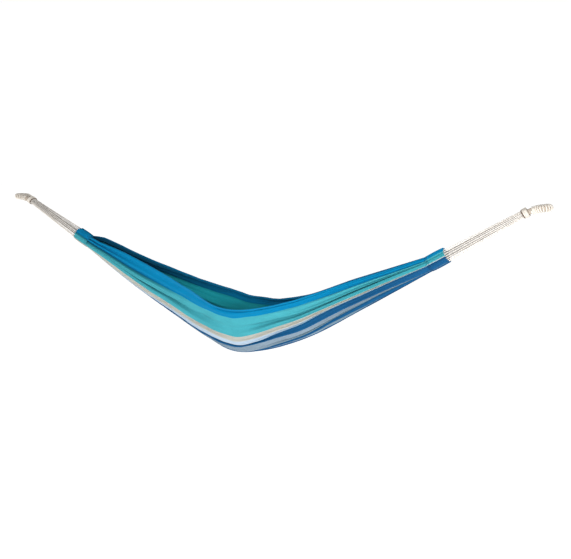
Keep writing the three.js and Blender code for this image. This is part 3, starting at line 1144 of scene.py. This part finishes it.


# Painted fold shade on the near half of the cloth.
NEAR_FOLD_SHADES = (
    FoldShade(0.082, 0.011, ((0.0, 0.55), (0.14, 0.58), (0.22, 0.40), (0.32, 0.0), (1.0, 0.0))),
    FoldShade(
        0.1435,
        0.036,
        (
            (0.0, 0.06),
            (0.15, 0.06),
            (0.30, 0.0),
            (0.62, 0.0),
            (0.78, 0.14),
            (0.86, 0.40),
            (0.93, 0.66),
            (1.0, 0.50),
        ),
    ),
    FoldShade(0.248, 0.010, ((0.0, 0.0), (0.60, 0.0), (0.75, 0.25), (0.93, 0.30), (1.0, 0.25))),
    FoldShade(0.343, 0.011, ((0.0, 0.0), (0.60, 0.0), (0.75, 0.25), (0.93, 0.40), (1.0, 0.30))),
    FoldShade(0.380, 0.014, ((0.0, 0.0), (0.65, 0.0), (0.78, 0.08), (0.93, 0.40), (1.0, 0.40))),
)


@dataclass(frozen=True)
class FarShade:
    """The painted light and shade of the far half, where its wall leans over its own inside.

    The three tables give the share of light kept by share of the bed: on the border, just below it, and lower
    down. Above 1 the cloth gets light back from the near wall. The widths are in metres of flat cloth.
    """

    border: tuple[tuple[float, float], ...] = (
        (0.0, 0.18),
        (0.08, 0.18),
        (0.155, 0.26),
        (0.29, 0.45),
        (0.47, 0.74),
        (0.65, 0.62),
        (1.0, 0.60),
    )
    upper: tuple[tuple[float, float], ...] = (
        (0.0, 0.50),
        (0.155, 0.70),
        (0.29, 0.95),
        (0.47, 0.95),
        (0.65, 0.70),
        (1.0, 0.70),
    )
    lower: tuple[tuple[float, float], ...] = (
        (0.0, 0.60),
        (0.155, 0.90),
        (0.29, 1.30),
        (0.47, 0.60),
        (0.65, 0.50),
        (1.0, 0.60),
    )
    rim_width: float = 0.014
    rim_gain: float = 0.35
    border_width: float = 0.080
    upper_width: float = 0.07
    ends_at: float = 0.36
    ends_over: float = 0.12
    red_lost: float = 0.75

    def inside(self, edge: np.ndarray) -> np.ndarray:
        """How far the shade holds: 1 on the wall, easing to 0 towards the bottom of the bed."""
        return np.clip((self.ends_at - edge) / self.ends_over, 0.0, 1.0)

    def kept(self, shares: np.ndarray, edge: np.ndarray) -> np.ndarray:
        """Work out the light that is kept.

        Args:
            shares: the stations, from the head seam to the foot seam.
            edge: the distance of each column from the far selvedge.

        Returns:
            The share of light kept at each station and column.
        """
        tables = (self.border, self.upper, self.lower)
        border, upper, lower = [by_share(shares, table)[:, None] for table in tables]
        # Painted highlight: the border gets lighter by rim_gain towards its rim, over rim_width.
        rim = np.clip(edge / self.rim_width, 0.0, 1.0)
        below = np.clip((edge - self.border_width) / self.upper_width, 0, 1)
        on_border = border + (1 - rim) * self.rim_gain
        wall = np.where(edge < self.border_width, on_border, upper + (lower - upper) * below)
        return 1 + (wall - 1) * self.inside(edge)


@dataclass
class BedShape:
    """The shape that the bed's cloth hangs in: its deepest line and its half outline at each station."""

    head: HarnessLine
    foot: HarnessLine
    seam_along: float = 0.458
    end_radius: float = 0.036
    low_x: float = 1.412
    low_z: float = -0.775
    height: float = 0.261
    rim_half_width: float = 0.155
    belly_half_width: float = 0.088
    rim_opening: tuple[float, float] = (0.10, 0.92)
    head_rise: float = 0.85
    seam_half_angle: float = math.radians(172)
    bottom_share: float = 0.4
    near_rim_drop: tuple[tuple[float, float], ...] = (
        (0.0, 0.012),
        (0.03, 0.022),
        (0.06, 0.018),
        (0.10, 0.0127),
        (0.20, 0.012),
        (0.30, 0.009),
        (0.38, 0.0065),
        (0.50, 0.009),
        (0.60, 0.0146),
        (0.69, 0.008),
        (0.78, 0.0),
        (0.86, 0.003),
        (0.93, 0.0058),
        (1.0, 0.0),
    )
    far_rim_lift: tuple[tuple[float, float], ...] = (
        (0.0, 0.0),
        (0.03, 0.014),
        (0.08, 0.012),
        (0.16, 0.0),
        (0.29, -0.009),
        (0.38, 0.0),
        (0.466, 0.009),
        (0.56, 0.005),
        (0.654, -0.006),
        (0.75, -0.003),
        (0.85, 0.0),
        (1.0, 0.0),
    )

    def keel_points(self) -> np.ndarray:
        """The points that the deepest line runs through, from head to foot."""
        head = self.head.ring(self.seam_along, self.end_radius, 0.0)
        foot = self.foot.ring(self.seam_along, self.end_radius, 0.0)
        corner = np.array([self.low_x, 0.0, self.low_z])

        def sagging(seam: np.ndarray, share: float, fall: float) -> np.ndarray:
            point = seam + (corner - seam) * share
            point[2] = seam[2] + (self.low_z - seam[2]) * fall
            return point

        head_side = [sagging(head, *pair) for pair in ((0.3, 0.36), (0.6, 0.665), (0.84, 0.889))]
        foot_side = [sagging(foot, *pair) for pair in ((0.84, 0.958), (0.6, 0.77), (0.3, 0.395))]
        return np.array([head, *head_side, corner, *foot_side, foot])

    def keel(self, share: float) -> np.ndarray:
        """A point of the deepest line, on a centripetal spline through its points.

        Args:
            share: of the way from the head seam to the foot seam, counted in the line's own stretches.

        Returns:
            The point.
        """
        points = self.keel_points()
        place = share * (len(points) - 1)
        index = min(int(place), len(points) - 2)
        weight = place - index
        before = points[index - 1] if index else 2 * points[0] - points[1]
        after = points[index + 2] if index + 2 < len(points) else 2 * points[-1] - points[-2]
        p0, p1, p2, p3 = before, points[index], points[index + 1], after
        d0, d1, d2 = (math.sqrt(np.linalg.norm(b - a)) for a, b in ((p0, p1), (p1, p2), (p2, p3)))
        t1 = ((p1 - p0) / d0 - (p2 - p0) / (d0 + d1) + (p2 - p1) / d1) * d1
        t2 = ((p2 - p1) / d1 - (p3 - p1) / (d1 + d2) + (p3 - p2) / d2) * d1
        c2 = -3 * p1 + 3 * p2 - 2 * t1 - t2
        c3 = 2 * p1 - 2 * p2 + t1 + t2
        return p1 + t1 * weight + c2 * weight**2 + c3 * weight**3

    def upright(self, share: float) -> np.ndarray:
        """The direction that the section stands in."""
        foldedness = abs(2 * share - 1)
        line = self.head if share < 0.5 else self.foot
        lean = foldedness**1.5
        return unit(Z_AXIS * (1 - lean) + line.up * lean)

    def rim_drop(self, share: float) -> float:
        """How far down the outline the near rim hangs."""
        return float(by_share(share, self.near_rim_drop))

    def half_outline(self, share: float, samples: int = 161) -> np.ndarray:
        """The half outline of the section, from the rim down to the deepest line.

        Args:
            share: of the way from the head seam to the foot seam.
            samples: how many points it has.

        Returns:
            Pairs of place across and height.
        """
        foldedness = abs(2 * share - 1)
        rise = self.head_rise if share < 0.5 else 1.0
        openness = math.sin((1 - foldedness) ** rise * math.pi / 2)
        rim_openness = smoothstep(1 - foldedness, *self.rim_opening)
        part = np.linspace(1.0, 0.0, samples)
        bottom = self.bottom_share
        angle = part * self.seam_half_angle
        narrow = np.stack([self.end_radius * np.sin(angle), self.end_radius * (1 - np.cos(angle))], axis=1)
        turn = np.minimum(part / bottom, 1.0) * math.pi / 2
        climb = np.clip((part - bottom) / (1 - bottom), 0.0, 1.0)
        belly = self.belly_half_width
        flare = belly + (self.rim_half_width - belly) * climb**1.8
        across = np.where(part < bottom, belly * np.sin(turn), flare)
        height = np.where(part < bottom, belly * (1 - np.cos(turn)), belly + (self.height - belly) * climb)
        opened = np.stack([across, height], axis=1)
        return narrow + (opened - narrow) * np.array([rim_openness, openness])


class Meander:
    """A fold drawn by a line whose heading swings one way and back, so that its sides close up."""

    def __init__(self) -> None:
        """Work out how much of a fold's width shows for each tightness of the fold."""
        self.tightness = np.concatenate([np.linspace(0.0, 1.0, 61), np.geomspace(1.02, 40.0, 120)])
        phase = (np.arange(2000) + 0.5) / 2000 * 2 * np.pi
        self.shown = np.array([np.cos(self.heading(tight, phase)).mean() for tight in self.tightness])

    def heading(self, tightness: float | np.ndarray, phase: np.ndarray) -> np.ndarray:
        """The heading of the cloth's line in a fold, which never turns further than straight in or out.

        Args:
            tightness: up to 1 the heading swings like a wave, and past 1 the sides stand straight.
            phase: of the way through the fold, in radians.

        Returns:
            The heading, in radians.
        """
        swing = np.minimum(tightness, 1.0) * math.pi / 2
        return swing * np.clip(np.maximum(tightness, 1.0) * np.sin(phase), -1.0, 1.0)

    def draw(self, width: float, openness: np.ndarray, steps: int) -> tuple[np.ndarray, np.ndarray]:
        """Draw one fold at several stations.

        Args:
            width: of the cloth in the fold.
            openness: the share of the width that shows, at each station.
            steps: how many points the fold has.

        Returns:
            How far the line has come along and how deep it lies, for each station and step.
        """
        tightness = np.interp(-np.asarray(openness), -self.shown, self.tightness)
        fine = 24
        phase = (np.arange(steps * fine) + 0.5) / (steps * fine) * 2 * np.pi
        heading = self.heading(tightness[:, None], phase[None, :])
        length = width / (steps * fine)
        progress = np.cumsum(np.cos(heading), axis=1)[:, fine - 1 :: fine] * length
        depth = np.cumsum(np.sin(heading), axis=1)[:, fine - 1 :: fine] * length
        return progress, depth


@dataclass
class Bed:
    """The striped cloth: a sheet hung in deep lengthwise folds, with its two selvedges."""

    shape: BedShape
    wardrobe: Wardrobe
    winding: PathTree
    flat_width: float = 1.000
    rows: int = 206
    step: float = 0.0045
    floor_pleats: int = 4
    thickness: float = 0.0012
    deepest: float = 0.024
    selvedge_radius: float = 0.0006
    selvedge_cord: float = 0.0009
    far_shade: FarShade = FarShade()
    flat_length: float = field(init=False, default=0.0)

    def half_section(
        self, shares: np.ndarray, seed: int, far: bool = False
    ) -> tuple[np.ndarray, np.ndarray, np.ndarray]:
        """Fold half of the cloth along its outline, at every station.

        Args:
            shares: the stations, from the head seam to the foot seam.
            seed: makes this half's folds its own.
            far: whether it is the far half.

        Returns:
            The distance from the selvedge in the flat cloth for each column, and the progress along the
            outline and the depth for each station and column.
        """
        rng = np.random.default_rng(seed)
        meander = Meander()
        lengths = np.array([line_length(self.shape.half_outline(share)) for share in shares])
        flats, progress, depth = [np.array([0.0, 0.008])], [np.tile([0.0, 0.008], (len(shares), 1))], []
        depth.append(np.zeros((len(shares), 2)))

        def append(start: float, stop: float, openness: np.ndarray) -> None:
            steps = max(int(round((stop - start) / self.step)), 6)
            along, deep = meander.draw(stop - start, openness, steps)
            flats.append(start + (stop - start) * (np.arange(steps) + 1) / steps)
            progress.append(progress[-1][:, -1:] + along)
            fullest = np.maximum(deep.max(axis=1, keepdims=True), 1e-9)
            depth.append(deep * np.minimum(1.0, self.deepest / fullest))

        for number, pleat in enumerate(WALL_PLEATS):
            given = (far and pleat.far_openness) or pleat.openness
            openness = np.mean([np.interp(shares + shift, STATIONS, given) for shift in EASING], axis=0)
            unevenness = 0.05 * ripple(shares * 2.3, seed * 50 + number, 3, 0.25, 0.9)
            openness = openness + unevenness * (1 - np.abs(2 * openness - 1))
            append(pleat.start, pleat.stop, np.clip(openness, 0.01, 1.0))
        start = WALL_PLEATS[-1].stop
        rest = self.flat_width / 2 - start
        left = np.maximum(lengths - progress[-1][:, -1], 0.004)
        parts = np.linspace(start, self.flat_width / 2, self.floor_pleats + 1)
        for number in range(self.floor_pleats):
            wave = 1 + 0.18 * ripple(shares * 2.3, seed * 90 + number, 3, 0.3, 1.1) + rng.uniform(-0.05, 0.05)
            append(parts[number], parts[number + 1], np.clip(left / rest * wave, 0.004, 1.0))
        come = np.concatenate(progress, axis=1)
        come *= np.minimum(1.0, lengths / come[:, -1])[:, None]
        over = lengths - come[:, -1]
        come += np.concatenate(flats)[None, :] ** 4 / (self.flat_width / 2) ** 4 * over[:, None]
        return np.concatenate(flats), come, np.concatenate(depth, axis=1)

    def surface(self) -> tuple[np.ndarray, np.ndarray]:
        """Hang the folded cloth on the bed's shape.

        Returns:
            The points, station by station from the near selvedge to the far one, and their places in the
            flat cloth in metres: across and along.
        """
        shares = np.linspace(0.0, 1.0, self.rows)
        halves = []
        for seed, side in ((3, -1.0), (7, 1.0)):
            halves.append((side, *self.half_section(shares, seed, far=side > 0)))
        keels = np.array([self.shape.keel(share) for share in shares])
        along = running_length(keels)
        rows = []
        for row, share in enumerate(shares):
            outline = self.shape.half_outline(share)
            lengths = running_length(outline)
            headings = unit(np.gradient(outline, axis=0))
            upright = self.shape.upright(share)
            strips = []
            for side, flat, come, deep in halves:
                drop = self.shape.rim_drop(share) if side < 0 else 0.0
                gone = drop + come[row] * (1 - drop / lengths[-1])
                place, heading = [
                    np.stack([np.interp(gone, lengths, column) for column in line.T], axis=1)
                    for line in (outline, headings)
                ]
                heading = unit(heading)
                inward = np.stack([heading[:, 1], -heading[:, 0]], axis=1)
                seed = 31 if side < 0 else 32
                # Soft dents run aslant over the cloth, and die out towards both seams.
                soft = 0.0016 * ripple(along[row] + flat * 1.3, seed, 4, 0.10, 0.34)
                soft += 0.0022 * ripple(along[row] * 0.5 + flat * 3.1, seed + 5, 3, 0.16, 0.5)
                depth = deep[row] + (soft * math.sin(share * math.pi) + 0.0008)
                flatter = place + inward * np.maximum(depth, 0.0007)[:, None]
                # The two halves keep a cloth's thickness apart where they meet under the bed.
                flatter[:, 0] = np.maximum(flatter[:, 0], self.thickness)
                if side > 0:
                    lift = float(by_share(share, self.shape.far_rim_lift))
                    flatter[:, 1] += lift * (1 - gone / lengths[-1]) ** 2
                strips.append(keels[row] + Y_AXIS * (side * flatter[:, :1]) + upright * flatter[:, 1:])
            rows.append(np.concatenate([strips[0], strips[1][::-1][1:]]))
        flat = halves[0][1]
        across = np.concatenate([flat, self.flat_width - flat[::-1][1:]])
        places = np.stack(np.broadcast_arrays(across[None, :], along[:, None]), axis=-1)
        return np.array(rows), places

    def kept_light(self, shares: np.ndarray, across: np.ndarray) -> np.ndarray:
        """Work out the painted shade: how much light the folds and the far wall's inside let out again, for
        each station and column.

        Args:
            shares: the stations, from the head seam to the foot seam.
            across: place of each column across the flat cloth.

        Returns:
            The share of red, green and blue light that is kept.
        """
        edge = np.minimum(across, self.flat_width - across)[None, :]
        kept = np.ones((len(shares), len(across)))
        for fold_shade in NEAR_FOLD_SHADES:
            depth = by_share(shares, fold_shade.depth)[:, None]
            kept *= 1 - depth * np.exp(-(((edge - fold_shade.place) / fold_shade.width) ** 4))
        back = self.far_shade.kept(shares, edge)
        # Light that comes back off blue cloth has lost its red first.
        near = np.stack([kept**power for power in (1.7, 1.0, 0.94)], axis=-1)
        red = back * (1 - self.far_shade.red_lost * self.far_shade.inside(edge))
        far = np.stack([red, back, back], axis=-1)
        return np.where(across[None, :, None] > self.flat_width / 2, far, near)

    def build(self) -> tuple[bpy.types.Object, list[bpy.types.Object]]:
        """Make the cloth and its selvedges.

        Returns:
            The cloth and the pieces sewn to it.
        """
        points, places = self.surface()
        rows, columns = points.shape[:2]
        faces = [face[::-1] for face in grid_faces(rows, columns, closed=False)]
        cloth = make_object("bed_striped_cloth", points, faces, self.wardrobe.cloth)
        paint_uv(cloth, places)
        # The painted shade of the folds and the far wall goes on the cloth's vertices.
        paint_kept_light(cloth, self.kept_light(np.linspace(0.0, 1.0, rows), places[0, :, 0]))
        wall = cloth.modifiers.new("cloth_thickness", "SOLIDIFY")
        wall.thickness = self.thickness
        wall.offset = 0.0
        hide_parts("bed_cloth")
        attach(cloth, "bed")
        edges = []
        for side, column in (("near", 0), ("far", columns - 1)):
            edge = self.winding.grow(
                f"bed_{side}_selvedge",
                [resample(points[:, column], 0.01)],
                self.wardrobe.selvedge,
                Side_Radius=self.selvedge_radius,
                Top_Radius=self.selvedge_radius,
                Pitch=0.007,
                Steps=7.0,
                Cord_Radius=self.selvedge_cord,
            )
            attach(edge, "bed")
            edges.append(edge)
        self.flat_length = float(places[-1, 0, 1])
        size = (rows, columns, self.flat_width, self.flat_length)
        LOG.info("cloth: %d by %d points, %.3f m by %.3f m flat", *size)
        return cloth, edges


# ---- the hems ----


@dataclass
class Hem:
    """The gathered band at one end of the cloth, folded back over the hem cord and sewn down."""

    line: HarnessLine
    wardrobe: Wardrobe
    bed: Bed
    stitches: PathTree
    mouth: float = 0.368
    seam: float = 0.4585
    ring_radius: float = 0.023
    half_depth: float = 0.0135
    near_angle: float = math.radians(-176)
    far_angle: float = math.radians(168)
    pocket: float = 0.020
    columns: int = 361
    tucks: int = 46
    cords: int = 16
    cord_spread: float = math.radians(141)
    bulges: tuple[tuple[float, float], ...] = (
        (0.445, 0.0006),
        (0.429, 0.0011),
        (0.413, 0.0012),
        (0.397, 0.0009),
        (0.383, 0.0004),
    )
    tuck_depth: float = 0.0009
    scallop_depth: float = 0.0052
    scallop_pinch: float = 0.0012
    mouth_reach: float = 0.012

    def flat_places(self, angles: np.ndarray) -> np.ndarray:
        """Find which part of the flat cloth shows at each angle round the band."""
        share = 0.0 if self.line.end is End.HEAD else 1.0
        flat, come, _ = self.bed.half_section(np.array([share]), 3)
        rising = np.maximum.accumulate(come[0]) + np.arange(len(flat)) * 1e-7
        reach = np.where(angles < 0, -self.near_angle, self.far_angle)
        from_rim = (reach - np.abs(angles)) / reach * rising[-1]
        near = np.interp(from_rim, rising, flat)
        return np.where(angles < 0, near, self.bed.flat_width - near)

    def build(self) -> tuple[bpy.types.Object, list[bpy.types.Object]]:
        """Make the band and its stitches.

        Returns:
            The band and the rows of stitches on it.
        """
        title = self.line.end.title
        angles = np.linspace(self.near_angle, self.far_angle, self.columns)
        depth = self.half_depth
        seed = 60 if self.line.end is End.HEAD else 70
        tuck = np.sin(angles * self.tucks + 0.6 * ripple(angles, seed, 3, 0.5, 1.4))
        tuck += 0.45 * np.sin(angles * 19 + 1.0)
        cord_phase = (angles / self.cord_spread + 1) / 2 * (self.cords - 1)
        scallop = (1 - np.cos(cord_phase * 2 * math.pi)) / 2
        # The closed section of the band: along the harness line, how far out from the ring, and how rippled.
        section = [
            (self.seam + 0.0006, depth * 0.86, 0.6),
            (self.seam - 0.0010, depth, 0.8),
            *[(place, depth + bulge, 1.0) for place, bulge in self.bulges],
            (self.mouth + 0.005, depth, 1.0),
            (self.mouth + 0.0015, depth - 0.0002, 0.9),
            (self.mouth, depth - 0.0009, 0.8),
            (self.mouth + 0.0015, depth - 0.0018, 0.8),
            (self.mouth + self.pocket * 0.5, depth - 0.0022, 0.8),
            (self.mouth + self.pocket, depth - 0.0030, 0.5),
            (self.mouth + self.pocket + 0.003, 0.0, 0.0),
            (self.mouth + self.pocket, -depth + 0.0030, 0.3),
            (self.mouth + 0.0025, -depth + 0.0020, 0.4),
            (self.mouth + 0.0010, -depth + 0.0010, 0.4),
            (self.mouth + 0.0025, -depth, 0.4),
            (0.402, -depth, 0.5),
            (0.437, -depth, 0.5),
            (self.seam - 0.0010, -depth, 0.4),
            (self.seam + 0.0006, -depth * 0.86, 0.3),
        ]
        rows, places = [], []
        flat = self.flat_places(angles)
        to_edge = np.minimum(angles - self.near_angle, self.far_angle - angles)
        rounding = np.sqrt(np.clip(1 - (1 - to_edge / math.radians(7.5)).clip(0) ** 2, 0.04, 1))
        run = 0.0
        previous = section[0]
        for along, out, amount in section:
            run += math.hypot(along - previous[0], out - previous[1])
            previous = (along, out, amount)
            at_mouth = max(0.0, 1 - abs(along - self.mouth) / self.mouth_reach)
            shift = at_mouth * (self.scallop_depth * (scallop - 0.5)) * (1 if out > 0 else 0.5)
            pinch = self.scallop_pinch * at_mouth * (1 - scallop) * (out > 0)
            radius = self.ring_radius + (out + self.tuck_depth * amount * tuck - pinch) * rounding
            rows.append([self.line.ring(along - s, r, a) for s, r, a in zip(shift, radius, angles)])
            places.append(np.stack([flat, np.full_like(flat, run)], axis=1))
        grid = np.array(rows)
        count, columns = grid.shape[:2]
        wrapped = np.swapaxes(grid, 0, 1)
        faces = grid_faces(columns, count, closed=True)
        faces.append(tuple(range(count))[::-1])
        faces.append(tuple((columns - 1) * count + index for index in range(count)))
        if self.line.end is End.FOOT:
            faces = [face[::-1] for face in faces]
        band = make_object(f"{title}_gathered_hem", wrapped, faces, self.wardrobe.hem)
        paint_uv(band, np.swapaxes(np.array(places), 0, 1))
        # Painted shade: the band takes the cloth's painted shade at its end, the far side with four tenths of
        # its darkening.
        share = 0.0 if self.line.end is End.HEAD else 1.0
        kept = self.bed.kept_light(np.array([share]), flat)[0]
        kept = np.where(angles[:, None] < 0, kept, 1 - 0.4 * (1 - kept))
        paint_kept_light(band, np.repeat(kept[:, None], count, axis=1))
        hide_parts(f"{title}_end_hem")
        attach(band, "bed")
        outside = self.ring_radius + depth + 0.0004
        arc = np.linspace(self.near_angle * 0.97, self.far_angle * 0.97, 90)
        rings = [
            np.array([self.line.ring(self.seam - back, outside + lift, angle) for angle in arc])
            for back, lift in ((0.0035, 0.0000), (0.0095, 0.0004))
        ]
        seam = self.stitches.grow(
            f"{title}_seam_stitches", rings, self.wardrobe.thread, Pitch=0.0042, Length=0.0036, Width=0.0013
        )
        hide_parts(f"{title}_seam_thread")
        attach(seam, "bed")
        LOG.info("%s hem: %d tucks", title, self.tucks)
        return band, [seam]


# ---- assembly ----


def main() -> None:
    """Build the hammock, piece by piece, and report each."""
    logging.basicConfig(level=logging.INFO, format="%(name)s: %(message)s")
    studio = Studio()
    studio.set_camera()
    wardrobe = Wardrobe()
    lines = {end: HarnessLine(end) for end in End}
    made = []
    for end in End:
        made += Harness(lines[end], wardrobe).build()
    winding, stitching = winding_tree(), stitch_tree()
    for end in End:
        made += Eye(lines[end], wardrobe, winding).build()
    bed = Bed(BedShape(lines[End.HEAD], lines[End.FOOT]), wardrobe, winding)
    cloth, sewn = bed.build()
    hem_length = 0.0
    for end in End:
        hem = Hem(lines[end], wardrobe, bed, stitching)
        band, seams = hem.build()
        sewn += [band, *seams]
        hem_length += hem.seam - hem.mouth
    LOG.info("cloth with its hems: %.3f m long", bed.flat_length + hem_length)
    LOG.info("%d pieces in all", len([*made, cloth, *sewn]))
    studio.lay_floor()
    studio.light()


if __name__ == "__main__":
    main()
